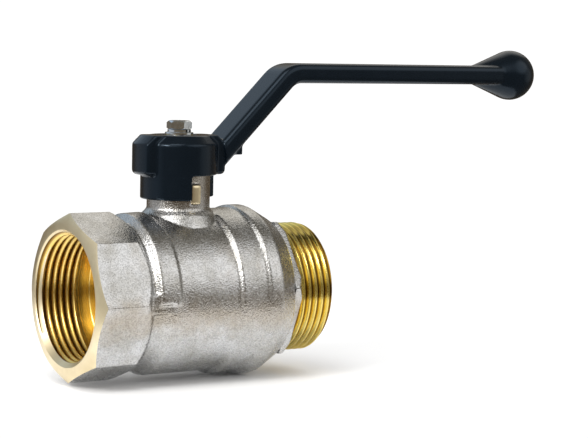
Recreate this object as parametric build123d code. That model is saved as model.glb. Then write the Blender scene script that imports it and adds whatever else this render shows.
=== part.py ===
from build123d import *
import os
from math import atan2, cos, pi, radians, sin, sqrt, tan

# Ball valve, G 1 1/4, female by male, with a lever.
# Origin: centre of the ball, where the pipe axis (X) crosses the stem axis (Z).
# The female end is at -X, the male end at +X. The lever points to +X and the valve is open.
# Millimetres throughout.

# pipe thread (parallel, G 1 1/4): plain cylinders at the true radii
thread_major_radius = 20.955
thread_minor_radius = 19.476

# ball and flow passage
ball_radius = 20.5
flow_radius = 14.0
outlet_mouth_radius = 16.4
outlet_mouth_length = 9.0
outlet_mouth_taper = 2.0

# seats
seat_bore_step = 0.2
seat_width = 4.3
seat_depth = 5.0
seat_heel = 1.51
seat_gap = 0.15
seat_pocket_clearance = 0.05

# inlet end of the body
inlet_thread_depth = 18.5
inlet_web = 4.6
octagon_flats = 48.8
octagon_corner_fillet = 1.6
face_chamfer_radius = 23.3
face_chamfer_length = 1.7
countersink_step = 1.82
countersink_depth = 1.8

# turned outline of the body
chamber_clearance = 0.7
barrel_wall = 4.1
waist_depth = 1.8
waist_length = 0.4
waist_slope_run = 3.1
band_height = 0.3
band_slope_run = 1.5
band_length = 6.6
band_end_gap = 0.9
band_step_run = 0.4
lower_waist_length = 3.4
lower_waist_run = 2.8
collar_step_height = 1.2
collar_step_start = 9.5
collar_step_run = 1.2
collar_height = 2.1
collar_start = 19.0
collar_crown_length = 4.0

# forged pads on the parting line, one on each side
pad_height = 6.0
pad_reach = 1.2

# screwed joint between the body and the end connector
socket_step = 1.2
socket_wall = 1.2
socket_length = 16.2
socket_front_gap = 2.1
socket_clearance = 0.05
o_ring_section = 1.8
o_ring_squeeze = 0.1
o_ring_setback = 5.6

# end connector
connector_flats_inset = 1.2
connector_collar_length = 3.2
connector_chamfer = 2.0
connector_turn = 24.0
outlet_thread_length = 13.2
thread_end_chamfer = 1.0

# neck
neck_wall = 2.0
neck_foot_fillet = 1.6
neck_foot_slope = 1.6
neck_bore_clearance = 0.05
gland_thread_length = 3.9

# stem
stem_radius = 5.5
stem_collar_step = 2.1
stem_collar_clearance = 0.2
stem_collar_lift = 0.7
stem_collar_thickness = 2.05
stem_flats = 7.6
stem_head_drop = 0.25
thrust_washer_thickness = 0.65
axial_play = 0.1
tang_thickness = 5.6
tang_width = 12.4
slot_web = 2.1
slot_clearance = 0.2
slot_floor_clearance = 0.3
stem_o_ring_section = 1.6
stem_o_ring_spacing = 3.2
stem_o_ring_lift = 2.4

# packing and gland nut
packing_width = 1.95
packing_lift = 9.5
packing_ring_height = 1.9
packing_ring_names = ("lower", "upper")
gland_thread_step = 0.5
gland_thread_clearance = 0.03
gland_head_margin = 0.5
gland_head_height = 3.2

# stop lug on the neck, and the window in the lever skirt that it limits
lug_angle = 271.0
lug_half_width = 8.0
lug_height = 1.7
lug_root = 0.5
lug_drop = 6.3
lug_length = 6.0
lever_travel = 90.0
stop_clearance = 1.0

# lever hub
hub_head_gap = 2.5
hub_plate = 3.26
hub_wall = 1.6
hub_clearance = 0.5
hub_lobe_reach = 15.0
hub_lobe_width = 10.8
hub_lobe_corner = 1.2
hub_lobe_height = 12.56
hub_lobe_foot_fillet = 1.6
hub_chamfer = 2.8
skirt_length = 7.7
leg_inset = 0.2
stem_hole_clearance = 0.05
screw_well_clearance = 0.6
ledge_reach = 20.4
ledge_width = 10.8
ledge_drop = 2.86
ledge_height = 3.5

# lever arm
arm_width = 13.0
arm_thickness = 6.4
arm_lift = 22.94
arm_root_start = 12.8
arm_root_run = 1.4
arm_root_drop = 23.86
elbow_inner_radius = 5.0
arm_edge_fillet = 2.0
knob_radius = 8.65
knob_centre = 132.4
knob_cone_angle = 20.0

# lever fasteners (M4)
screw_radius = 1.95
screw_hole_clearance = 0.05
screw_length = 11.0
screw_hole_extra = 1.5
screw_head_flats = 7.0
screw_head_height = 2.8
screw_head_turn = 23.0
washer_radius = 4.5
washer_hole_radius = 2.15
washer_thickness = 0.8
spring_washer_radius = 3.7
spring_washer_thickness = 0.9
spring_washer_slit = 0.7

# radii that follow from the sizes above
seat_inner_radius = flow_radius + seat_bore_step
seat_outer_radius = seat_inner_radius + seat_width
seat_pocket_radius = seat_outer_radius + seat_pocket_clearance
chamber_radius = ball_radius + chamber_clearance
barrel_radius = chamber_radius + barrel_wall
waist_radius = barrel_radius - waist_depth
band_radius = barrel_radius + band_height
collar_step_radius = barrel_radius + collar_step_height
collar_radius = barrel_radius + collar_height
socket_radius = chamber_radius + socket_step
plug_radius = socket_radius - socket_clearance
o_ring_inner_radius = plug_radius - o_ring_section + o_ring_squeeze
connector_flats = 2 * (socket_radius - connector_flats_inset)
octagon_corner_radius = octagon_flats / 2 / cos(pi / 8)
connector_corner_radius = connector_flats / 2 / cos(pi / 6)
stem_bore_radius = stem_radius + neck_bore_clearance
stem_collar_radius = stem_radius + stem_collar_step
stem_groove_radius = stem_radius - stem_o_ring_section + neck_bore_clearance
packing_outer_radius = stem_bore_radius + packing_width
gland_thread_radius = packing_outer_radius + gland_thread_step
gland_flats = 2 * (gland_thread_radius + gland_head_margin)
neck_radius = gland_thread_radius + neck_wall
lug_radius = neck_radius + lug_height
hub_bore_radius = neck_radius + hub_clearance
hub_skirt_radius = hub_bore_radius + hub_wall

# stations along the pipe axis
seat_face_radius = ball_radius + seat_gap
seat_back = sqrt(seat_face_radius**2 - seat_inner_radius**2) + seat_heel
seat_front = seat_back - seat_depth
inlet_shoulder = -seat_back - inlet_web
inlet_face = inlet_shoulder - inlet_thread_depth
band_end = -seat_front - band_end_gap
band_start = band_end - band_length
waist_end = band_start - band_slope_run
waist_start = waist_end - waist_length
octagon_end = waist_start - waist_slope_run
socket_start = seat_front + socket_front_gap
body_end = socket_start + socket_length
body_end_radius = socket_radius + socket_wall
o_ring_start = body_end - o_ring_setback
connector_collar_end = body_end + connector_collar_length
outlet_face = connector_collar_end + outlet_thread_length

# levels up the stem axis
tang_bottom = flow_radius + slot_web + slot_floor_clearance
stem_collar_bottom = ball_radius + stem_collar_lift
stem_collar_top = stem_collar_bottom + stem_collar_thickness
thrust_washer_bottom = stem_collar_top + axial_play
thrust_washer_top = thrust_washer_bottom + thrust_washer_thickness
stem_o_ring_levels = {
    "lower": thrust_washer_top + stem_o_ring_lift,
    "upper": thrust_washer_top + stem_o_ring_lift + stem_o_ring_spacing,
}
packing_bottom = thrust_washer_top + packing_lift
packing_top = packing_bottom + packing_ring_height * len(packing_ring_names)
neck_top = packing_top + gland_thread_length
gland_top = neck_top + gland_head_height
hub_underside = gland_top + hub_head_gap
hub_top = hub_underside + hub_plate
stem_top = hub_top - stem_head_drop
hub_lobe_bottom = hub_top - hub_lobe_height
skirt_bottom = hub_lobe_bottom - skirt_length
lug_top = neck_top - lug_drop
lug_bottom = lug_top - lug_length
arm_top = hub_top + arm_lift
arm_bottom = arm_top - arm_thickness
arm_middle = arm_top - arm_thickness / 2


def spun(points, axis):
    """Turn an outline, drawn as (x, z) points, through a full circle about the axis."""
    outline = Plane.XZ * make_face(Polyline(*points, close=True))
    return revolve(outline, axis, 360)


def rod_x(radius, start, end):
    """Cylinder along the pipe axis."""
    blank = Cylinder(radius, end - start, rotation=(0, 90, 0))
    return Pos((start + end) / 2, 0, 0) * blank


def rod_z(radius, bottom, top):
    """Cylinder along the stem axis."""
    return Pos(0, 0, (bottom + top) / 2) * Cylinder(radius, top - bottom)


def ring_z(outer, inner, bottom, top):
    return rod_z(outer, bottom, top) - rod_z(inner, bottom - 1, top + 1)


def sector(start_angle, sweep, reach, bottom, top):
    """Wedge about the stem axis, from start_angle through sweep degrees."""
    apex_kept = (Align.NONE, Align.NONE, Align.CENTER)
    blank = Cylinder(reach, top - bottom, arc_size=sweep, align=apex_kept)
    return Pos(0, 0, (bottom + top) / 2) * Rot(0, 0, start_angle) * blank


def wrench_prism(sides, flats, start, end, turn):
    """Regular prism along the pipe axis, measured across its flats."""
    outline = RegularPolygon(flats / 2, sides, major_radius=False)
    prism = extrude(outline, end - start)
    return Pos(start, 0, 0) * Rot(turn, 0, 0) * Rot(0, 90, 0) * prism


def body_octagon():
    """Wrench flats at the inlet: corners eased, face edge and back edge turned to cones."""
    prism = wrench_prism(8, octagon_flats, inlet_face, waist_start, 0)
    prism = fillet(prism.edges().filter_by(Axis.X), octagon_corner_fillet)
    turned = spun(
        [
            (inlet_face, 0),
            (inlet_face, face_chamfer_radius),
            (inlet_face + face_chamfer_length, octagon_corner_radius),
            (octagon_end, octagon_corner_radius),
            (waist_start, waist_radius),
            (waist_start, 0),
        ],
        Axis.X,
    )
    return prism & turned


def body_outline():
    """Turned outside of the body behind the octagon: waist, barrel, step and collar."""
    lower_waist_end = waist_start + lower_waist_length
    return spun(
        [
            (waist_start - 1, 0),
            (waist_start - 1, waist_radius),
            (lower_waist_end, waist_radius),
            (lower_waist_end + lower_waist_run, barrel_radius),
            (collar_step_start - collar_step_run, barrel_radius),
            (collar_step_start, collar_step_radius),
            (collar_start - collar_step_run, collar_step_radius),
            (collar_start, collar_radius),
            (collar_start + collar_crown_length, collar_radius),
            (body_end, body_end_radius),
            (body_end, 0),
        ],
        Axis.X,
    )


def upper_band():
    """Raised band over the upper half of the body, from pad to pad."""
    band = spun(
        [
            (waist_end, 0),
            (waist_end, waist_radius),
            (band_start, band_radius),
            (band_end, band_radius),
            (band_end + band_step_run, barrel_radius),
            (band_end + band_step_run, 0),
        ],
        Axis.X,
    )
    upper_half = Box(4 * band_radius, 4 * band_radius, 2 * band_radius)
    return band & (Pos(0, 0, band_radius) * upper_half)


def parting_pads():
    """Small forged pads that bridge the waist on the parting line."""
    length = band_end - octagon_end
    pad = Box(length, 2 * (waist_radius + pad_reach), pad_height)
    return Pos((octagon_end + band_end) / 2, 0, 0) * pad


def neck_blank():
    """Round neck with a coved foot that flows into the barrel."""
    foot_base = barrel_radius - 2 * neck_foot_fillet
    foot = spun(
        [
            (0, foot_base),
            (neck_radius + neck_foot_fillet + neck_foot_slope, foot_base),
            (neck_radius + neck_foot_fillet, barrel_radius),
            (neck_radius, barrel_radius + neck_foot_fillet),
            (0, barrel_radius + neck_foot_fillet),
        ],
        Axis.Z,
    )
    return rod_z(neck_radius, 0, neck_top) + foot


def stop_lug():
    wedge = sector(lug_angle - lug_half_width, 2 * lug_half_width, lug_radius, lug_bottom, lug_top)
    return wedge - rod_z(neck_radius - lug_root, lug_bottom - 1, lug_top + 1)


def body_hollow():
    """Threaded inlet, web, seat pocket, ball chamber and connector socket."""
    countersink_radius = thread_minor_radius + countersink_step
    return spun(
        [
            (inlet_face - 1, 0),
            (inlet_face - 1, countersink_radius),
            (inlet_face, countersink_radius),
            (inlet_face + countersink_depth, thread_minor_radius),
            (inlet_shoulder, thread_minor_radius),
            (inlet_shoulder, flow_radius),
            (-seat_back, flow_radius),
            (-seat_back, seat_pocket_radius),
            (-seat_front, seat_pocket_radius),
            (-seat_front, chamber_radius),
            (socket_start, chamber_radius),
            (socket_start, socket_radius),
            (body_end + 1, socket_radius),
            (body_end + 1, 0),
        ],
        Axis.X,
    )


def neck_hollow():
    """Collar recess, stem bore, packing box and gland thread."""
    collar_recess = stem_collar_radius + stem_collar_clearance
    return spun(
        [
            (0, 0),
            (collar_recess, 0),
            (collar_recess, thrust_washer_top),
            (stem_bore_radius, thrust_washer_top),
            (stem_bore_radius, packing_bottom),
            (packing_outer_radius, packing_bottom),
            (packing_outer_radius, packing_top),
            (gland_thread_radius, packing_top),
            (gland_thread_radius, neck_top + 1),
            (0, neck_top + 1),
        ],
        Axis.Z,
    )


def make_body():
    shell = body_octagon() + body_outline() + upper_band() + parting_pads()
    shell = shell + neck_blank() + stop_lug()
    return shell - body_hollow() - neck_hollow()


def connector_plug():
    """Part of the connector inside the body, with its ring groove."""
    plug = rod_x(plug_radius, socket_start + socket_clearance, body_end)
    groove = rod_x(plug_radius + 1, o_ring_start, o_ring_start + o_ring_section)
    return plug - (groove - rod_x(o_ring_inner_radius, o_ring_start - 1, body_end))


def connector_collar():
    """Wrench collar against the body, its corners turned back towards the thread."""
    hexagon = wrench_prism(6, connector_flats, body_end, connector_collar_end, connector_turn)
    turned = spun(
        [
            (body_end, 0),
            (body_end, connector_corner_radius),
            (connector_collar_end - connector_chamfer, connector_corner_radius),
            (connector_collar_end, connector_corner_radius - connector_chamfer),
            (connector_collar_end, 0),
        ],
        Axis.X,
    )
    return hexagon & turned


def connector_thread():
    """Male pipe thread as a plain cylinder with a chamfered end."""
    return spun(
        [
            (connector_collar_end - connector_chamfer, 0),
            (connector_collar_end - connector_chamfer, thread_major_radius),
            (outlet_face - thread_end_chamfer, thread_major_radius),
            (outlet_face, thread_major_radius - thread_end_chamfer),
            (outlet_face, 0),
        ],
        Axis.X,
    )


def make_end_connector():
    """Screwed-in male end: plug, wrench collar, pipe thread, seat pocket and flow passage."""
    mouth_start = outlet_face - outlet_mouth_length
    passage = spun(
        [
            (0, 0),
            (0, seat_pocket_radius),
            (seat_back, seat_pocket_radius),
            (seat_back, flow_radius),
            (mouth_start - outlet_mouth_taper, flow_radius),
            (mouth_start, outlet_mouth_radius),
            (outlet_face + 1, outlet_mouth_radius),
            (outlet_face + 1, 0),
        ],
        Axis.X,
    )
    return connector_plug() + connector_collar() + connector_thread() - passage


def make_connector_o_ring():
    end = o_ring_start + o_ring_section
    return rod_x(plug_radius, o_ring_start, end) - rod_x(o_ring_inner_radius, o_ring_start - 1, end + 1)


def make_seat(side):
    """Seat ring with a spherical face that clears the ball by seat_gap."""
    front_point = (seat_front, sqrt(seat_face_radius**2 - seat_front**2))
    back_point = (seat_back - seat_heel, seat_inner_radius)
    middle_angle = (atan2(*reversed(front_point)) + atan2(*reversed(back_point))) / 2
    middle_point = (seat_face_radius * cos(middle_angle), seat_face_radius * sin(middle_angle))
    edges = [
        ThreePointArc(front_point, middle_point, back_point),
        Line(back_point, (seat_back, seat_inner_radius)),
        Line((seat_back, seat_inner_radius), (seat_back, seat_outer_radius)),
        Line((seat_back, seat_outer_radius), (seat_front, seat_outer_radius)),
        Line((seat_front, seat_outer_radius), front_point),
    ]
    ring = revolve(Plane.XZ * make_face(edges), Axis.X, 360)
    if side < 0:
        ring = Rot(0, 0, 180) * ring
    return ring


def make_ball():
    """Bored ball with a slot across its crown for the stem tang."""
    ball = Sphere(ball_radius) - rod_x(flow_radius, -ball_radius, ball_radius)
    slot_floor = tang_bottom - slot_floor_clearance
    slot_height = ball_radius + 1 - slot_floor
    slot = Box(tang_thickness + 2 * slot_clearance, 2 * ball_radius, slot_height)
    return ball - Pos(0, 0, slot_floor + slot_height / 2) * slot


def make_stem():
    """Blow-out-proof stem: tang, collar, shaft with two ring grooves, and a double-D head."""
    tang_top = stem_collar_bottom + stem_collar_thickness / 2
    tang = Box(tang_thickness, tang_width, tang_top - tang_bottom)
    stem = Pos(0, 0, (tang_bottom + tang_top) / 2) * tang
    stem = stem + rod_z(stem_collar_radius, stem_collar_bottom, stem_collar_top)
    stem = stem + rod_z(stem_radius, stem_collar_bottom, stem_top)
    for level in stem_o_ring_levels.values():
        stem = stem - ring_z(stem_radius + 1, stem_groove_radius, level, level + stem_o_ring_section)
    for side in (-1, 1):
        waste = Box(4 * stem_radius, stem_radius, stem_top - hub_underside + 1)
        middle = stem_flats / 2 + stem_radius / 2
        stem = stem - Pos(0, side * middle, (hub_underside + stem_top + 1) / 2) * waste
    hole_floor = hub_top - screw_length - screw_hole_extra
    return stem - rod_z(screw_radius + screw_hole_clearance, hole_floor, stem_top + 1)


def make_stem_o_ring(name):
    level = stem_o_ring_levels[name]
    return ring_z(stem_radius, stem_groove_radius, level, level + stem_o_ring_section)


def make_thrust_washer():
    return ring_z(stem_collar_radius, stem_bore_radius, thrust_washer_bottom, thrust_washer_top)


def make_packing_ring(index):
    bottom = packing_bottom + index * packing_ring_height
    return ring_z(packing_outer_radius, stem_bore_radius, bottom, bottom + packing_ring_height)


def make_gland_nut():
    """Gland nut: threaded spigot in the neck and a hexagon head on top of it."""
    spigot = rod_z(gland_thread_radius - gland_thread_clearance, packing_top, neck_top)
    hexagon = extrude(RegularPolygon(gland_flats / 2, 6, major_radius=False), gland_head_height)
    bore = rod_z(stem_bore_radius, packing_top - 1, gland_top + 1)
    return spigot + Pos(0, 0, neck_top) * hexagon - bore


def hub_cap():
    """Round cap with its top edge chamfered back."""
    cap = rod_z(hub_skirt_radius, hub_lobe_bottom, hub_top)
    return chamfer(cap.faces().sort_by(Axis.Z)[-1].edges(), hub_chamfer)


def hub_lobes():
    """Pair of blunt lobes along X, with round ends and the same chamfer as the cap."""
    block = Box(2 * hub_lobe_reach + 2, hub_lobe_width, hub_top - hub_lobe_bottom)
    block = Pos(0, 0, (hub_top + hub_lobe_bottom) / 2) * block
    ends = rod_z(hub_lobe_reach, hub_lobe_bottom, hub_top)
    ends = chamfer(ends.faces().sort_by(Axis.Z)[-1].edges(), hub_chamfer)
    ends = fillet(ends.faces().sort_by(Axis.Z)[0].edges(), hub_lobe_foot_fillet)
    lobes = block & ends
    corners = lobes.edges().filter_by(Axis.Z)
    return fillet(corners, hub_lobe_corner)


def stop_leg(start_angle):
    """Leg under the +X lobe: it meets the lug when the valve is closed."""
    top = hub_lobe_bottom + 2 * hub_lobe_foot_fillet
    block = Box(hub_lobe_reach, hub_lobe_width, top - skirt_bottom)
    block = Pos(hub_lobe_reach / 2, 0, (top + skirt_bottom) / 2) * block
    leg = block & rod_z(hub_lobe_reach - leg_inset, skirt_bottom, top)
    return leg & sector(start_angle, lever_travel, 2 * hub_lobe_reach, skirt_bottom - 1, top + 1)


def lever_hub():
    """Cap and lobes, thin skirt with its window, and the leg that carries the closing stop."""
    skirt = rod_z(hub_skirt_radius, skirt_bottom, hub_lobe_bottom + 1)
    window_start = lug_angle - lug_half_width - stop_clearance
    window_sweep = 2 * lug_half_width + lever_travel + 2 * stop_clearance
    reach = 2 * hub_lobe_reach
    window = sector(window_start, window_sweep, reach, skirt_bottom - 1, hub_lobe_bottom)
    leg = stop_leg(window_start + window_sweep)
    return hub_cap() + hub_lobes() + (skirt - window) + leg


def edge_at(solid, x, z):
    """Cross-wise edge of the arm nearest to a point of its side view."""
    crosswise = solid.edges().filter_by(Axis.Y)
    return crosswise.sort_by(lambda edge: abs(edge.center().X - x) + abs(edge.center().Z - z))[0]


def lever_arm():
    """Bar that rises at 45 degrees from the hub and runs level to the knob."""
    root_level = hub_top - arm_root_drop
    rise = arm_thickness * sqrt(2)
    inner_elbow = arm_bottom - root_level
    outer_elbow = arm_top - root_level - rise
    root_end = arm_root_start + arm_root_run
    side_view = Plane.XZ * make_face(
        Polyline(
            (arm_root_start, arm_root_start + root_level + rise),
            (root_end, root_end + root_level),
            (inner_elbow, arm_bottom),
            (knob_centre, arm_bottom),
            (knob_centre, arm_top),
            (outer_elbow, arm_top),
            close=True,
        )
    )
    arm = extrude(side_view, arm_width / 2, both=True)
    arm = fillet(edge_at(arm, inner_elbow, arm_bottom), elbow_inner_radius)
    arm = fillet(edge_at(arm, outer_elbow, arm_top), elbow_inner_radius + arm_thickness)
    side_edges = arm.edges().filter_by(lambda edge: abs(abs(edge.center().Y) - arm_width / 2) < 0.01)
    long_edges = side_edges.filter_by(lambda edge: root_end < edge.center().X < knob_centre - 1)
    return fillet(long_edges, arm_edge_fillet)


def lever_knob():
    """Teardrop end: a cone that runs tangent into a ball, about the bar's centre line."""
    slope = radians(knob_cone_angle)
    meet = (knob_centre - knob_radius * sin(slope), knob_radius * cos(slope))
    start_radius = arm_thickness / 2
    start_x = meet[0] - (meet[1] - start_radius) / tan(slope)
    tip = (knob_centre + knob_radius, 0)
    edges = [
        Line((start_x, 0), (start_x, start_radius)),
        Line((start_x, start_radius), meet),
        ThreePointArc(meet, (knob_centre, knob_radius), tip),
        Line(tip, (start_x, 0)),
    ]
    outline = Plane.XZ * make_face(edges)
    return Pos(0, 0, arm_middle) * revolve(outline, Axis.X, 360)


def lever_ledge():
    """Short shelf under the root of the arm."""
    length = ledge_reach - arm_root_start
    middle_x = (ledge_reach + arm_root_start) / 2
    middle_z = hub_top - ledge_drop - ledge_height / 2
    return Pos(middle_x, 0, middle_z) * Box(length, ledge_width, ledge_height)


def double_d_hole():
    radius = stem_radius + stem_hole_clearance
    hole = rod_z(radius, hub_underside - 1, hub_top + 1)
    width = stem_flats + 2 * stem_hole_clearance
    slab = Pos(0, 0, (hub_underside + hub_top) / 2) * Box(4 * stem_radius, width, 2 * hub_plate + 4)
    return hole & slab


def make_lever():
    lever = lever_hub() + lever_arm() + lever_ledge() + lever_knob()
    lever = lever - rod_z(hub_bore_radius, skirt_bottom - 2, hub_underside)
    lever = lever - rod_z(washer_radius + screw_well_clearance, hub_top, arm_top)
    return lever - double_d_hole()


def make_lever_washer():
    return ring_z(washer_radius, washer_hole_radius, hub_top, hub_top + washer_thickness)


def make_lever_spring_washer():
    bottom = hub_top + washer_thickness
    top = bottom + spring_washer_thickness
    ring = ring_z(spring_washer_radius, washer_hole_radius, bottom, top)
    slit = Pos(0, -spring_washer_radius, (bottom + top) / 2) * Box(
        spring_washer_slit, 2 * spring_washer_radius, 2 * spring_washer_thickness
    )
    return ring - slit


def make_lever_screw():
    """Hexagon-head screw into the top of the stem."""
    seat = hub_top + washer_thickness + spring_washer_thickness
    hexagon = extrude(RegularPolygon(screw_head_flats / 2, 6, major_radius=False), screw_head_height)
    head = Pos(0, 0, seat) * Rot(0, 0, screw_head_turn) * hexagon
    corner_radius = screw_head_flats / 2 / cos(pi / 6)
    head_top = seat + screw_head_height
    crown = rod_z(corner_radius + 0.01, seat, head_top)
    crown = chamfer(crown.faces().sort_by(Axis.Z)[-1].edges(), corner_radius * 0.07, corner_radius * 0.14)
    shank = rod_z(screw_radius, hub_top - screw_length, head_top - screw_head_height / 2)
    return (head & crown) + shank


os.makedirs("parts", exist_ok=True)

nodes = {
    "body": make_body(),
    "end_connector": make_end_connector(),
    "connector_o_ring": make_connector_o_ring(),
    "inlet_seat": make_seat(-1),
    "outlet_seat": make_seat(1),
    "ball": make_ball(),
    "stem": make_stem(),
    "stem_thrust_washer": make_thrust_washer(),
    "gland_nut": make_gland_nut(),
    "lever": make_lever(),
    "lever_washer": make_lever_washer(),
    "lever_spring_washer": make_lever_spring_washer(),
    "lever_screw": make_lever_screw(),
}
for name in stem_o_ring_levels:
    nodes["stem_o_ring_" + name] = make_stem_o_ring(name)
for index, name in enumerate(packing_ring_names):
    nodes["stem_packing_" + name] = make_packing_ring(index)

for name, solid in nodes.items():
    export_step(solid, "parts/" + name + ".step")
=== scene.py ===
# Ball valve with a lever handle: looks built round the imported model, in metres.
import bpy
import math
from mathutils import Matrix, Vector


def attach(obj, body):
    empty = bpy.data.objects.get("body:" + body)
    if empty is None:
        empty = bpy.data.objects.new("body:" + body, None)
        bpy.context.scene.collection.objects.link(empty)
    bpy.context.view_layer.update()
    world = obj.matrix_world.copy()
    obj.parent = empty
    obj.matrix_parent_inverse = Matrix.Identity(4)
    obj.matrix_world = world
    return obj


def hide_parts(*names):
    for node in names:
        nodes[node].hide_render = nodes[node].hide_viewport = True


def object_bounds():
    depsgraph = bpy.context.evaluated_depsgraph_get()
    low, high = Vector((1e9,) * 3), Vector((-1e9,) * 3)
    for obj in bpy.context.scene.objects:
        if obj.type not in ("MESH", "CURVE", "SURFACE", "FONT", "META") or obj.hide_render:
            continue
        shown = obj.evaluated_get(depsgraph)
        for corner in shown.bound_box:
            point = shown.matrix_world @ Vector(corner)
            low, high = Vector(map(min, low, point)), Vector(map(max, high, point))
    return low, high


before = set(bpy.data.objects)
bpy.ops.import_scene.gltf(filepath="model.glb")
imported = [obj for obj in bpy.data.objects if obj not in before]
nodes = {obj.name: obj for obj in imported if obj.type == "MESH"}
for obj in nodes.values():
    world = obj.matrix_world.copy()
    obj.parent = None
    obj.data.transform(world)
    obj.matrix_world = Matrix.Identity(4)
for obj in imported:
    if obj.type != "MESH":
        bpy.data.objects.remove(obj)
cadBounds = [list(corner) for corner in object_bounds()]
mm = 0.001
print("frame loaded:", len(nodes), "nodes")


# selecting and shaping

def pick(*pieces):
    bpy.ops.object.select_all(action="DESELECT")
    for piece in pieces:
        piece.select_set(True)
    bpy.context.view_layer.objects.active = pieces[0]


def edit(piece):
    pick(piece)
    bpy.ops.object.mode_set(mode="EDIT")
    bpy.ops.mesh.select_all(action="SELECT")


def leave():
    bpy.ops.object.mode_set(mode="OBJECT")


def named(name):
    piece = bpy.context.active_object
    piece.name = name
    piece.data.name = name
    return piece


def settle(piece):
    pick(piece)
    bpy.ops.object.transform_apply(location=True, rotation=True, scale=True)
    return piece


def outward(piece, merge=1e-7):
    edit(piece)
    bpy.ops.mesh.remove_doubles(threshold=merge)
    bpy.ops.mesh.normals_make_consistent(inside=False)
    leave()
    return piece


def onPipe(along, radius):
    return Vector((along * mm, -radius * mm, 0.0))


def onStem(radius, height):
    return Vector((radius * mm, 0.0, height * mm))


def drawLine(name, points):
    # a plane merged to one vertex, then pulled from point to point
    bpy.ops.object.select_all(action="DESELECT")
    bpy.ops.mesh.primitive_plane_add(size=mm, location=points[0])
    piece = settle(named(name))
    edit(piece)
    bpy.ops.mesh.merge(type="CENTER")
    for here, there in zip(points, points[1:]):
        bpy.ops.mesh.extrude_vertices_move(TRANSFORM_OT_translate={"value": there - here})
    leave()
    return piece


def turned(name, points, axis, steps=128):
    # lathe work: the outline is spun once round the pipe or the stem
    piece = drawLine(name, points)
    edit(piece)
    bpy.ops.mesh.spin(steps=steps, angle=2 * math.pi, center=(0, 0, 0), axis=axis)
    leave()
    return outward(piece)


def turnedOnPipe(name, outline, steps=128):
    return turned(name, [onPipe(*point) for point in outline], (1, 0, 0), steps)


def turnedOnStem(name, outline, steps=96):
    return turned(name, [onStem(*point) for point in outline], (0, 0, 1), steps)


def apply(piece, kind, **values):
    pick(piece)
    modifier = piece.modifiers.new(kind.lower(), kind)
    for key, value in values.items():
        setattr(modifier, key, value)
    bpy.ops.object.modifier_apply(modifier=modifier.name)
    return piece


def combine(piece, tool, operation, solver="EXACT"):
    apply(piece, "BOOLEAN", object=tool, operation=operation, solver=solver)
    bpy.data.objects.remove(tool)
    return piece


def joined(piece, *others):
    pick(piece, *others)
    bpy.ops.object.join()
    return piece


def copyOf(node, name):
    piece = bpy.data.objects.new(name, nodes[node].data.copy())
    bpy.context.scene.collection.objects.link(piece)
    piece.data.name = name
    piece.data.materials.clear()
    return outward(piece, 1e-6)


def softSkin(piece, voxel, passes):
    # cast or forged skin: one even net, then its edges eased
    apply(piece, "REMESH", mode="VOXEL", voxel_size=voxel * mm)
    apply(piece, "SMOOTH", factor=0.5, iterations=passes)
    return piece


def coat(piece, *materials):
    piece.data.materials.clear()
    for material in materials:
        piece.data.materials.append(material)
    return piece


def paint(piece, slotIndex, where=lambda centre, normal: True):
    for face in piece.data.polygons:
        if where(face.center, face.normal):
            face.material_index = slotIndex
    return piece


def soften(piece, angle=32):
    pick(piece)
    bpy.ops.object.shade_smooth_by_angle(angle=math.radians(angle))
    return piece


def done(piece, body, slotName, *replaced):
    outward(piece)
    piece.modifiers.clear()
    if replaced:
        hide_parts(*replaced)
    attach(piece, body)
    print(piece.name, "made:", len(piece.data.polygons), "faces")
    return piece


def ridge(name, start, turns, pitch, profile, axis, steps=96):
    # one turn of thread drawn as a closed outline, then screwed along its axis
    points = profile(start)
    piece = drawLine(name, points + points[:1])
    outward(piece)
    apply(piece, "SCREW", axis=axis, angle=2 * math.pi, screw_offset=pitch * mm, iterations=turns,
          steps=steps, render_steps=steps, use_merge_vertices=False, use_normal_calculate=True)
    edit(piece)
    bpy.ops.mesh.fill_holes(sides=0)
    leave()
    return outward(piece)


# finishes

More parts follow.
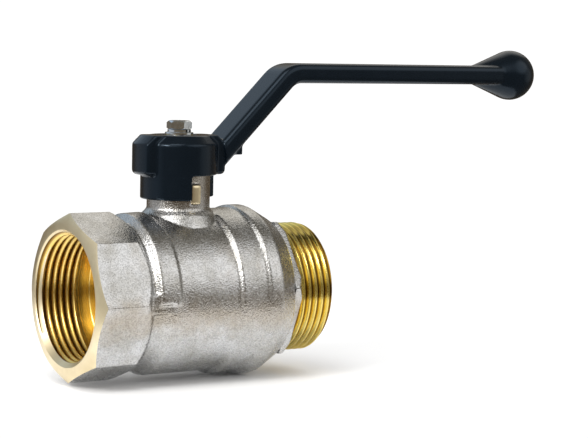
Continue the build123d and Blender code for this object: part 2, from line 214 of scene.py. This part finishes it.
class Finish:
    def __init__(self, name, **sockets):
        self.material = bpy.data.materials.new(name)
        self.material.use_nodes = True
        self.tree = self.material.node_tree
        self.shader = self.tree.nodes["Principled BSDF"]
        for key, value in sockets.items():
            self.shader.inputs[key.replace("_", " ")].default_value = value
        self.place = self.node("ShaderNodeTexCoord").outputs["Object"]

    def node(self, kind, **values):
        made = self.tree.nodes.new(kind)
        for key, value in values.items():
            setattr(made, key, value)
        return made

    def link(self, source, target):
        self.tree.links.new(source, target)

    def noise(self, scale, detail=2.0, rough=0.5, vector=None, stretch=None):
        made = self.node("ShaderNodeTexNoise")
        made.inputs["Scale"].default_value = scale
        made.inputs["Detail"].default_value = detail
        made.inputs["Roughness"].default_value = rough
        vector = vector or self.place
        if stretch:
            mapping = self.node("ShaderNodeMapping")
            mapping.inputs["Scale"].default_value = stretch
            self.link(vector, mapping.inputs["Vector"])
            vector = mapping.outputs["Vector"]
        self.link(vector, made.inputs["Vector"])
        return made.outputs["Fac"]

    def lathePlace(self):
        # along the pipe in x, distance from it in y: lines follow the lathe tool
        split = self.node("ShaderNodeSeparateXYZ")
        self.link(self.place, split.inputs[0])
        flat = self.node("ShaderNodeCombineXYZ")
        self.link(split.outputs[1], flat.inputs[1])
        self.link(split.outputs[2], flat.inputs[2])
        length = self.node("ShaderNodeVectorMath", operation="LENGTH")
        self.link(flat.outputs[0], length.inputs[0])
        out = self.node("ShaderNodeCombineXYZ")
        self.link(split.outputs[0], out.inputs[0])
        self.link(length.outputs["Value"], out.inputs[1])
        return out.outputs[0]

    def ramp(self, factor, stops):
        made = self.node("ShaderNodeValToRGB")
        ramp = made.color_ramp
        while len(ramp.elements) < len(stops):
            ramp.elements.new(0.5)
        for element, (position, colour) in zip(ramp.elements, stops):
            element.position = position
            element.color = colour if len(colour) == 4 else (*colour, 1.0)
        self.link(factor, made.inputs["Fac"])
        return made.outputs["Color"]

    def mix(self, factor, first, second, blend="MIX"):
        made = self.node("ShaderNodeMix", data_type="RGBA", blend_type=blend)
        sockets = (made.inputs[0], made.inputs[6], made.inputs[7])
        for socket, value in zip(sockets, (factor, first, second)):
            if isinstance(value, (int, float)):
                socket.default_value = value
            elif isinstance(value, tuple):
                socket.default_value = (*value, 1.0)
            else:
                self.link(value, socket)
        return made.outputs[2]

    def spread(self, factor, low, high):
        made = self.node("ShaderNodeMapRange")
        made.inputs["To Min"].default_value = low
        made.inputs["To Max"].default_value = high
        self.link(factor, made.inputs["Value"])
        return made.outputs["Result"]

    def bump(self, height, strength, distance, below=None):
        made = self.node("ShaderNodeBump")
        made.inputs["Strength"].default_value = strength
        made.inputs["Distance"].default_value = distance
        self.link(height, made.inputs["Height"])
        if below:
            self.link(below, made.inputs["Normal"])
        self.link(made.outputs["Normal"], self.shader.inputs["Normal"])
        return made.outputs["Normal"]

    def set(self, socket, source):
        self.link(source, self.shader.inputs[socket])


def makePlate():
    # satin nickel over a shot-blasted forging: speckle, soft clouding, and a painted reflection, a dark
    # warm band that wanders round the body near mid-height
    look = {"bright": (0.645, 0.648, 0.655), "dull": (0.48, 0.472, 0.45), "warm": (0.40, 0.33, 0.24),
            "brownFrom": 25, "brownTo": 31, "brownMost": 0.35,
            "paintedBandFrom": -6, "paintedBandTo": 10, "paintedBandWander": 12}
    f = Finish("nickelPlate", Metallic=1.0)
    cloud = f.noise(110, 4, 0.6)
    speck = f.noise(2300, 1, 0.5)
    base = f.mix(f.ramp(cloud, [(0.35, (0, 0, 0)), (0.62, (1, 1, 1))]), look["dull"], look["bright"])
    height = f.node("ShaderNodeSeparateXYZ")
    f.link(f.place, height.inputs[0])
    brown = f.node("ShaderNodeMapRange")
    brown.inputs["From Min"].default_value = look["brownFrom"] * mm
    brown.inputs["From Max"].default_value = look["brownTo"] * mm
    brown.inputs["To Max"].default_value = look["brownMost"]
    f.link(height.outputs[2], brown.inputs["Value"])
    base = f.mix(brown.outputs["Result"], base, look["warm"])
    # painted reflection: a dark warm band near mid-height, its height wandering with noise, stands in for a
    # dark reflection in the metal
    wander = f.node("ShaderNodeMath", operation="MULTIPLY_ADD")
    f.link(f.noise(160, 4, 0.6), wander.inputs[0])
    wander.inputs[1].default_value = look["paintedBandWander"] * mm
    f.link(height.outputs[2], wander.inputs[2])
    paintedBandPlace = f.node("ShaderNodeMapRange")
    paintedBandPlace.inputs["From Min"].default_value = look["paintedBandFrom"] * mm
    paintedBandPlace.inputs["From Max"].default_value = look["paintedBandTo"] * mm
    f.link(wander.outputs[0], paintedBandPlace.inputs["Value"])
    black, pale = (0, 0, 0), (0.55, 0.55, 0.55)
    paintedBand = f.ramp(paintedBandPlace.outputs["Result"], [(0.0, black), (0.42, pale), (0.56, pale), (0.95, black)])
    base = f.mix(paintedBand, base, look["warm"])
    stain = f.ramp(f.noise(60, 5, 0.62), [(0.55, (0, 0, 0)), (0.75, (0.4, 0.4, 0.4))])
    base = f.mix(stain, base, look["warm"])
    grain = f.ramp(speck, [(0.38, (0.74, 0.74, 0.74)), (0.56, (1, 1, 1))])
    f.set("Base Color", f.mix(1.0, base, grain, "MULTIPLY"))
    f.set("Roughness", f.spread(f.noise(900, 2), 0.17, 0.35))
    coarse = f.bump(f.noise(420, 3, 0.5), 0.2, 0.08 * mm)
    f.bump(speck, 0.85, 0.15 * mm, coarse)
    return f.material


# painted shade colour for the thread roots
paintedRootShade = (0.22, 0.12, 0.025)


def makeBrass(name, bright, deep, rough, root=None):
    # bare brass from the lathe: fine turning lines, a little tarnish, and painted shade making it darker
    # down in the thread roots
    f = Finish(name, Metallic=1.0)
    lathe = f.lathePlace()
    lines = f.noise(1.0, 3, 0.7, lathe, (5200, 5200, 1))
    patch = f.noise(120, 3, 0.6)
    base = f.mix(f.ramp(patch, [(0.3, (0, 0, 0)), (0.7, (1, 1, 1))]), deep, bright)
    # painted shade: the brass turns dark brown toward the thread roots, by distance from the pipe axis
    if root:
        split = f.node("ShaderNodeSeparateXYZ")
        f.link(lathe, split.inputs[0])
        depth = f.node("ShaderNodeMapRange", interpolation_type="SMOOTHSTEP")
        depth.inputs["From Min"].default_value = root[0] * mm
        depth.inputs["From Max"].default_value = root[1] * mm
        f.link(split.outputs[1], depth.inputs["Value"])
        base = f.mix(depth.outputs["Result"], paintedRootShade, base)
    f.set("Base Color", base)
    f.set("Roughness", f.spread(lines, *rough))
    f.bump(lines, 0.2, 0.02 * mm)
    return f.material


def makeLeverCoat():
    # glossy blue-black powder coat with a slight orange peel
    look = {"deep": (0.0022, 0.0042, 0.0068), "lit": (0.0040, 0.0070, 0.0110)}
    f = Finish("leverCoat", Specular_Tint=(0.62, 0.80, 1.0, 1.0))
    f.shader.inputs["Specular IOR Level"].default_value = 0.30
    f.set("Base Color", f.mix(f.noise(60, 3), look["deep"], look["lit"]))
    f.set("Roughness", f.spread(f.noise(240, 3), 0.14, 0.26))
    f.bump(f.noise(950, 2), 0.12, 0.05 * mm)
    return f.material


def makeZinc():
    f = Finish("zincPlate", Metallic=1.0)
    f.set("Base Color", f.mix(f.noise(700, 3), (0.66, 0.72, 0.78), (0.86, 0.90, 0.94)))
    f.set("Roughness", f.spread(f.noise(1500, 2), 0.08, 0.2))
    f.bump(f.noise(900, 2), 0.5, 0.12 * mm)
    return f.material


def makeChrome():
    f = Finish("ballChrome", Metallic=1.0)
    f.set("Base Color", f.mix(f.noise(300, 2), (0.72, 0.72, 0.72), (0.80, 0.80, 0.79)))
    f.set("Roughness", f.spread(f.noise(900, 2), 0.06, 0.12))
    return f.material


def makePlain(name, low, high, rough, scale=400):
    f = Finish(name)
    f.set("Base Color", f.mix(f.noise(scale, 3), low, high))
    f.set("Roughness", f.spread(f.noise(scale * 2, 2), *rough))
    f.bump(f.noise(scale * 4, 2), 0.1, 0.02 * mm)
    return f.material


nickelPlate = makePlate()
machinedBrass = makeBrass("machinedBrass", (0.80, 0.60, 0.14), (0.66, 0.46, 0.08), (0.12, 0.30))
inletBrass = makeBrass("inletBrass", (0.94, 0.72, 0.26), (0.80, 0.56, 0.15), (0.14, 0.36), (20.7, 19.9))
outletBrass = makeBrass("outletBrass", (0.94, 0.76, 0.24), (0.80, 0.60, 0.14), (0.10, 0.26), (19.5, 20.4))
facedBrass = makeBrass("facedBrass", (0.85, 0.745, 0.52), (0.73, 0.62, 0.40), (0.26, 0.46))
leverCoat = makeLeverCoat()
zincPlate = makeZinc()
ballChrome = makeChrome()
seatPlastic = makePlain("seatPlastic", (0.78, 0.77, 0.72), (0.86, 0.85, 0.81), (0.4, 0.55))
sealRubber = makePlain("sealRubber", (0.012, 0.012, 0.012), (0.03, 0.03, 0.03), (0.6, 0.8))
print("finishes ready")


# pipe threads with rounded 55 degree crests

pipeThread = {"pitch": 2.309, "minor": 19.476,
              "crest": ((1.12, -0.3), (1.12, 0.0), (0.96, 0.07), (0.83, 0.20), (0.30, 1.30),
                        (0.19, 1.42), (0.0, 1.479))}


def pipeProfile(start):
    half = [(w, pipeThread["minor"] + h) for w, h in pipeThread["crest"]]
    outline = [(start - w, r) for w, r in half] + [(start + w, r) for w, r in half[-2::-1]]
    return [onPipe(*point) for point in outline]


def pipeRidge(name, start, turns):
    return ridge(name, start, turns, pipeThread["pitch"], pipeProfile, "X")


# body

bodySizes = {
    "voxel": 0.455, "softPasses": 2, "flats": 48.8, "octagonFront": -41.0, "octagonBack": -22.0,
    "fillerEnd": -30.0, "fillerEase": 0.66, "crispGrow": 0.05, "crispEase": 0.2,
    "octagonTurn": [(-42, 0), (-42, 28), (-24.4, 28), (-24.4, 26.5), (-21.4, 23.6), (-21.4, 0)],
    "band": [(-20.2, 22.0), (-20.2, 23.6), (-18.9, 25.75), (-12.9, 26.0), (-12.3, 25.2), (-12.3, 22.0)],
    "filler": [(-41, 0), (-41, 21.8), (13.7, 21.8), (13.7, 23.0), (30.2, 23.0), (30.2, 0)],
    "neckFiller": [(0, 12), (8.8, 12), (8.8, 42.0), (0, 42.0)],
    # lathe tool: front face and its cone, threaded inlet, web, seat pocket, chamber, socket, back face
    "pipeTool": [(-46, 0), (-46, 32), (-34.82, 32), (-39.602, 23.3), (-39.602, 21.296), (-37.803, 19.476),
                 (-25.2, 19.476), (-25.0, 19.62), (-21.3, 19.62), (-21.103, 19.476), (-21.103, 14.4),
                 (-20.7, 14.0), (-16.503, 14.0), (-16.503, 18.55), (-11.503, 18.55), (-11.503, 21.2),
                 (13.603, 21.2), (13.603, 22.4), (29.803, 22.4), (29.803, 32), (32, 32), (32, 0)],
    "neckTool": [(0, 8), (7.8, 8), (7.8, 24.0), (5.55, 24.0), (5.55, 33.5), (7.5, 33.5), (7.5, 37.3),
                 (8.0, 37.3), (8.0, 40.8), (8.4, 41.2), (14, 41.2), (14, 44), (0, 44)],
    "inletThreadStart": -42.6, "inletThreadTurns": 7, "lugLevels": (28.75, 35.05), "lugFrom": 10.5,
    "platedFrom": 29.7, "facedTo": -37.1, "neckPlatedFrom": 41,
}


def wrenchBar(name, sides, flats, start, end, turn):
    bpy.ops.object.select_all(action="DESELECT")
    bpy.ops.mesh.primitive_cylinder_add(vertices=sides, radius=flats / 2 / math.cos(math.pi / sides) * mm,
                                        depth=(end - start) * mm, location=((end + start) / 2 * mm, 0, 0),
                                        rotation=(0, math.pi / 2, 0))
    piece = settle(named(name))
    edit(piece)
    bpy.ops.transform.rotate(value=math.radians(turn), orient_axis="X", center_override=(0, 0, 0))
    leave()
    return piece


def easeCorners(piece, radius):
    # only the long edges, which run along the pipe
    edit(piece)
    bpy.ops.mesh.select_all(action="DESELECT")
    leave()
    for edge in piece.data.edges:
        first, second = (piece.data.vertices[index].co for index in edge.vertices)
        edge.select = abs((first - second).normalized().x) > 0.9
    pick(piece)
    bpy.ops.object.mode_set(mode="EDIT")
    bpy.ops.mesh.select_mode(type="EDGE")
    bpy.ops.mesh.bevel(offset=radius * mm, segments=4, affect="EDGES")
    bpy.ops.mesh.select_mode(type="VERT")
    leave()
    return piece


def upperBand(outline):
    # the raised band runs over the upper half only
    band = turnedOnPipe("upperBand", outline + outline[:1], 96)
    bpy.ops.object.select_all(action="DESELECT")
    bpy.ops.mesh.primitive_cube_add(size=80 * mm, location=(0, 0, 40 * mm))
    return combine(band, settle(named("upperHalf")), "INTERSECT")


def makeBodyShell():
    s = bodySizes
    front = wrenchBar("octagonFront", 8, s["flats"], s["octagonFront"], s["fillerEnd"], 0)
    shell = joined(copyOf("body", "bodyShell"), turnedOnPipe("bodyFiller", s["filler"], 64),
                   turnedOnStem("neckFiller", s["neckFiller"], 48), easeCorners(front, s["fillerEase"]),
                   upperBand(s["band"]))
    softSkin(shell, s["voxel"], s["softPasses"])
    crisp = wrenchBar("octagonFlats", 8, s["flats"] + s["crispGrow"], s["octagonFront"],
                      s["octagonBack"], 0)
    flats = easeCorners(crisp, s["crispEase"])
    combine(flats, turnedOnPipe("octagonTurn", s["octagonTurn"], 64), "INTERSECT")
    combine(shell, flats, "UNION")
    coat(shell, nickelPlate, inletBrass, facedBrass)
    paint(shell, 0)
    tool = coat(turnedOnPipe("pipeTool", s["pipeTool"]), nickelPlate, inletBrass, facedBrass)
    paint(tool, 1, lambda centre, normal: centre.x < s["platedFrom"] * mm)
    paint(tool, 2, lambda centre, normal: centre.x < s["facedTo"] * mm)
    thread = pipeRidge("inletThread", s["inletThreadStart"], s["inletThreadTurns"])
    coat(thread, nickelPlate, inletBrass)
    paint(thread, 1)
    combine(tool, thread, "UNION")
    combine(shell, tool, "DIFFERENCE")
    bore = coat(turnedOnStem("neckTool", s["neckTool"]), nickelPlate, inletBrass)
    paint(bore, 1, lambda centre, normal: centre.z < s["neckPlatedFrom"] * mm)
    combine(shell, bore, "DIFFERENCE")
    low, high = s["lugLevels"]
    paint(shell, 2, lambda centre, normal: (low * mm < centre.z < high * mm
                                            and centre.xy.length > s["lugFrom"] * mm))
    soften(shell, 30)
    return done(shell, "valve_body", "plated_body", "body")


makeBodyShell()


# end connector

connectorSizes = {
    "voxel": 0.36, "softPasses": 2, "flats": 42.4, "turn": 6.0, "start": 28.6, "end": 33.6,
    "collarCone": [(29.1, 0), (29.1, 20.9), (29.82, 20.9), (29.82, 25.0), (30.483, 25.0), (33.003, 22.48),
                   (33.003, 0)],
    "plug": [(13.653, 0), (13.653, 22.0), (14.0, 22.35), (24.203, 22.35), (24.203, 20.65), (26.003, 20.65),
             (26.003, 22.35), (29.803, 22.35), (29.803, 0)],
    "threadCore": [(27.0, 0), (27.0, 19.476), (48.0, 19.476), (48.0, 0)],
    "threadSleeve": [(26.6, 0), (26.6, 19.8), (30.3, 19.8), (30.3, 21.2), (44.888, 21.2), (46.203, 19.7),
                     (46.203, 0)],
    "threadStart": 34.94 - 2 * pipeThread["pitch"], "threadTurns": 8, "platedRim": (29.7, 29.9),
    "passage": [(0, 0), (0, 18.55), (16.503, 18.55), (16.503, 14.0), (35.203, 14.0), (37.203, 16.4),
                (45.9, 16.4), (46.203, 16.7), (48, 16.7), (48, 0)],
}


def makeConnectorShell():
    s = connectorSizes
    shell = wrenchBar("connectorShell", 6, s["flats"], s["start"], s["end"], s["turn"])
    combine(shell, turnedOnPipe("collarCone", s["collarCone"]), "INTERSECT")
    softSkin(shell, s["voxel"], s["softPasses"])
    coat(shell, nickelPlate, outletBrass)
    paint(shell, 0)
    thread = coat(turnedOnPipe("threadCore", s["threadCore"]), nickelPlate, outletBrass)
    combine(thread, pipeRidge("outletThread", s["threadStart"], s["threadTurns"]), "UNION")
    combine(thread, turnedOnPipe("threadSleeve", s["threadSleeve"]), "INTERSECT")
    combine(thread, turnedOnPipe("plug", s["plug"]), "UNION")
    paint(thread, 1)
    rim = s["platedRim"]
    paint(thread, 0, lambda centre, normal: rim[0] * mm < centre.x < rim[1] * mm and normal.x > 0.9)
    combine(shell, thread, "UNION")
    passage = coat(turnedOnPipe("passage", s["passage"]), nickelPlate, outletBrass)
    paint(passage, 1)
    combine(shell, passage, "DIFFERENCE")
    soften(shell, 30)
    return done(shell, "valve_body", "turned_brass", "end_connector")


makeConnectorShell()


# lever

leverSizes = {"voxel": 0.36, "softPasses": 4}


def makeLeverSkin():
    skin = softSkin(copyOf("lever", "leverSkin"), leverSizes["voxel"], leverSizes["softPasses"])
    coat(skin, leverCoat)
    soften(skin, 60)
    return done(skin, "lever_and_stem", "lever_coating", "lever")


makeLeverSkin()


# screw and washers on the stem

screwSizes = {
    "flats": 7.0, "turn": 7.0, "seat": 51.86, "top": 54.66,
    "crown": [(0, 51.86), (3.35, 51.86), (4.05, 52.25), (4.05, 53.95), (3.2, 54.62), (2.2, 54.66),
              (1.6, 54.5), (0, 54.45)],
    "shank": [(0, 39.5), (1.3, 39.5), (1.58, 39.9), (1.58, 51.4), (1.95, 51.5), (1.95, 52.2), (0, 52.2)],
    "pitch": 0.7, "threadRoot": 1.58, "threadDepth": 0.37, "threadHalf": 0.32, "threadTip": 0.05,
    "threadSink": 0.1, "threadStart": 40.2, "threadTurns": 14,
    "washer": [(2.15, 50.16), (4.4, 50.16), (4.5, 50.26), (4.5, 50.84), (4.38, 50.96), (2.25, 50.96),
               (2.15, 50.86)],
    "spring": [(2.2, 50.97), (3.62, 50.97), (3.7, 51.05), (3.7, 51.75), (3.62, 51.83), (2.2, 51.83)],
    "springGap": 11.0,
}


def makeLeverScrew():
    s = screwSizes
    bpy.ops.object.select_all(action="DESELECT")
    bpy.ops.mesh.primitive_cylinder_add(vertices=6, radius=s["flats"] / 2 / math.cos(math.pi / 6) * mm,
                                        depth=(s["top"] - s["seat"]) * mm,
                                        location=(0, 0, (s["top"] + s["seat"]) / 2 * mm))
    head = settle(named("leverScrew"))
    edit(head)
    bpy.ops.transform.rotate(value=math.radians(s["turn"]), orient_axis="Z", center_override=(0, 0, 0))
    leave()
    combine(head, turnedOnStem("crown", s["crown"]), "INTERSECT")

    def profile(start):
        root, deep = s["threadRoot"], s["threadDepth"]
        half, tip, sink = s["threadHalf"], s["threadTip"], s["threadSink"]
        outline = [(root - sink, -half), (root, -half), (root + deep, -tip), (root + deep, tip),
                   (root, half), (root - sink, half)]
        return [onStem(r, start + z) for r, z in outline]

    shank = turnedOnStem("shank", s["shank"], 48)
    thread = ridge("shankThread", s["threadStart"], s["threadTurns"], s["pitch"], profile, "Z", 48)
    combine(shank, thread, "UNION")
    combine(head, shank, "UNION")
    coat(head, zincPlate)
    soften(head, 25)
    return done(head, "lever_and_stem", "zinc_steel", "lever_screw")


def makeLeverWasher():
    outline = screwSizes["washer"]
    washer = coat(turnedOnStem("leverWasher", outline + outline[:1]), zincPlate)
    soften(washer, 25)
    return done(washer, "lever_and_stem", "zinc_steel", "lever_washer")


def makeSpringWasher():
    s = screwSizes
    gap = math.radians(s["springGap"])
    points = [onStem(*point) for point in s["spring"]]
    turn = Matrix.Rotation(-math.pi / 2 + gap / 2, 4, "Z")
    spring = drawLine("springWasher", [turn @ point for point in points])
    edit(spring)
    bpy.ops.mesh.edge_face_add()
    bpy.ops.mesh.spin(steps=72, angle=2 * math.pi - gap, center=(0, 0, 0), axis=(0, 0, 1))
    leave()
    outward(spring)
    coat(spring, zincPlate)
    soften(spring, 25)
    return done(spring, "lever_and_stem", "zinc_steel", "lever_spring_washer")


makeLeverScrew()
makeLeverWasher()
makeSpringWasher()


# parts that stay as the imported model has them

keptParts = {
    "stem": machinedBrass, "gland_nut": machinedBrass, "ball": ballChrome,
    "inlet_seat": seatPlastic, "outlet_seat": seatPlastic, "stem_thrust_washer": seatPlastic,
    "stem_packing_lower": seatPlastic, "stem_packing_upper": seatPlastic,
    "connector_o_ring": sealRubber, "stem_o_ring_lower": sealRubber, "stem_o_ring_upper": sealRubber,
}
hiddenParts = {"body": nickelPlate, "end_connector": machinedBrass, "lever": leverCoat,
               "lever_washer": zincPlate, "lever_spring_washer": zincPlate, "lever_screw": zincPlate}
for name, material in {**keptParts, **hiddenParts}.items():
    nodes[name].data.materials.clear()
    nodes[name].data.materials.append(material)
print("small parts finished")


# floor, light and camera

stageSizes = {"floorRadius": 0.16, "floorCentre": (0.03, 0.06), "floorWhite": (0.93, 0.93, 0.93)}


def makeFloor():
    bpy.ops.object.select_all(action="DESELECT")
    bpy.ops.mesh.primitive_circle_add(vertices=96, radius=stageSizes["floorRadius"], fill_type="NGON",
                                      location=(*stageSizes["floorCentre"], cadBounds[0][2]))
    floor = settle(named("floor"))
    f = Finish("floorPaper", Roughness=0.9)
    f.set("Base Color", f.mix(f.noise(3, 2), stageSizes["floorWhite"], (0.95, 0.95, 0.95)))
    coat(floor, f.material)


def makeLight(name, place, target, size, power, colour=(1, 1, 1)):
    bpy.ops.object.select_all(action="DESELECT")
    bpy.ops.object.light_add(type="AREA", location=place)
    light = bpy.context.active_object
    light.name = name
    light.data.shape = "RECTANGLE"
    light.data.size = size
    light.data.size_y = size
    light.data.energy = power
    light.data.color = colour
    aim = Vector(target) - Vector(place)
    light.rotation_euler = aim.to_track_quat("-Z", "Y").to_euler()


studioSizes = {
    # soft boxes seen in the metal: direction, how near the middle they fade in, colour and strength
    "boxes": [((0.485, -0.720, 0.500), 0.80, 0.95, (1.0, 0.99, 0.97), 1.35),
              ((-0.127, 0.865, 0.489), 0.86, 0.97, (0.72, 0.86, 1.0), 0.75),
              ((0.480, 0.560, 0.680), 0.88, 0.98, (1.0, 0.96, 0.88), 1.1),
              ((-0.93, -0.20, 0.30), 0.50, 0.92, (1.0, 0.98, 0.94), 1.3)],
    # upright cards at both sides of the camera, for the neck and the screw
    "cards": [((0.873, -0.489, 0.0), 0.89, 0.985, (1.0, 0.97, 0.90), 0.52),
              ((-0.873, 0.489, 0.0), 0.66, 0.95, (0.95, 0.97, 1.0), 0.50)],
    "rise": (-0.05, 0.4), "horizon": (0.02, 0.30),
    "low": (0.125, 0.095, 0.06), "high": (0.17, 0.155, 0.125), "white": (1.06, 1.06, 1.06), "strength": 1.0,
}


def makeWorld():
    s = studioSizes
    world = bpy.data.worlds.new("studio")
    bpy.context.scene.world = world
    world.use_nodes = True
    tree = world.node_tree
    back = tree.nodes["Background"]

    def node(kind, **values):
        made = tree.nodes.new(kind)
        for key, value in values.items():
            setattr(made, key, value)
        return made

    direction = node("ShaderNodeTexCoord").outputs["Generated"]

    def fade(towards, start, end):
        dot = node("ShaderNodeVectorMath", operation="DOT_PRODUCT")
        dot.inputs[1].default_value = towards
        tree.links.new(direction, dot.inputs[0])
        spread = node("ShaderNodeMapRange", interpolation_type="SMOOTHSTEP")
        spread.inputs["From Min"].default_value = start
        spread.inputs["From Max"].default_value = end
        tree.links.new(dot.outputs["Value"], spread.inputs["Value"])
        return spread.outputs["Result"]

    def mix(factor, first, second):
        made = node("ShaderNodeMix", data_type="RGBA")
        sockets = (made.inputs[0], made.inputs[6], made.inputs[7])
        for socket, value in zip(sockets, (factor, first, second)):
            if isinstance(value, tuple):
                socket.default_value = (*value, 1.0)
            else:
                tree.links.new(value, socket)
        return made.outputs[2]

    def lit(sky, boxes):
        for towards, start, end, colour, strength in boxes:
            glow = tuple(value * strength for value in colour)
            sky = mix(fade(Vector(towards).normalized(), start, end), sky, glow)
        return sky

    sky = mix(fade((0, 0, 1), *s["rise"]), s["low"], s["high"])
    sky = mix(fade((0, 0, 1), *s["horizon"]), s["low"], lit(sky, s["boxes"]))
    sky = lit(sky, s["cards"])
    glossy = node("ShaderNodeLightPath").outputs["Is Glossy Ray"]
    tree.links.new(mix(glossy, s["white"], sky), back.inputs["Color"])
    back.inputs["Strength"].default_value = s["strength"]


# the camera circles the ball centre, then looks a little aside and below it, in degrees
cameraPlace = {"azimuth": 29.3086, "elevation": 7.3230, "roll": 0.70857, "distance": 622.41,
               "yaw": -3.40619, "pitch": -2.18884, "lens": 119.5188, "sensor": 36.0}


def makeCamera():
    c = cameraPlace
    angles = ("azimuth", "elevation", "roll", "yaw", "pitch")
    az, el, roll, yaw, pitch = (math.radians(c[key]) for key in angles)
    away = Vector((-math.sin(az) * math.cos(el), -math.cos(az) * math.cos(el), math.sin(el)))
    place = away * c["distance"]
    ahead = -place.normalized()
    right = ahead.cross(Vector((0, 0, 1))).normalized()
    up = right.cross(ahead)
    side = math.cos(yaw) * right + math.sin(yaw) * ahead
    look = math.cos(yaw) * ahead - math.sin(yaw) * right
    look, up = (math.cos(pitch) * look - math.sin(pitch) * up,
                math.cos(pitch) * up + math.sin(pitch) * look)
    side, up = (math.cos(roll) * side + math.sin(roll) * up,
                -math.sin(roll) * side + math.cos(roll) * up)
    bpy.ops.object.select_all(action="DESELECT")
    bpy.ops.object.camera_add(location=place * mm)
    camera = bpy.context.active_object
    camera.name = "mainCamera"
    turn = Matrix((side, up, -look)).transposed()
    camera.rotation_euler = turn.to_euler()
    camera.data.sensor_width = c["sensor"]
    camera.data.lens = c["lens"]
    camera.data.clip_start, camera.data.clip_end = 0.01, 50
    bpy.context.scene.camera = camera


makeFloor()
makeWorld()
makeLight("keyLight", (-0.3, -0.35, 0.9), (0.03, 0, 0.02), 0.5, 2.2)
makeLight("inletLight", (-0.45, -0.16, 0.30), (-0.03, 0, 0), 0.16, 1.5, (1.0, 0.98, 0.95))
makeCamera()
bpy.context.scene.view_settings.view_transform = "Standard"
print("stage set")
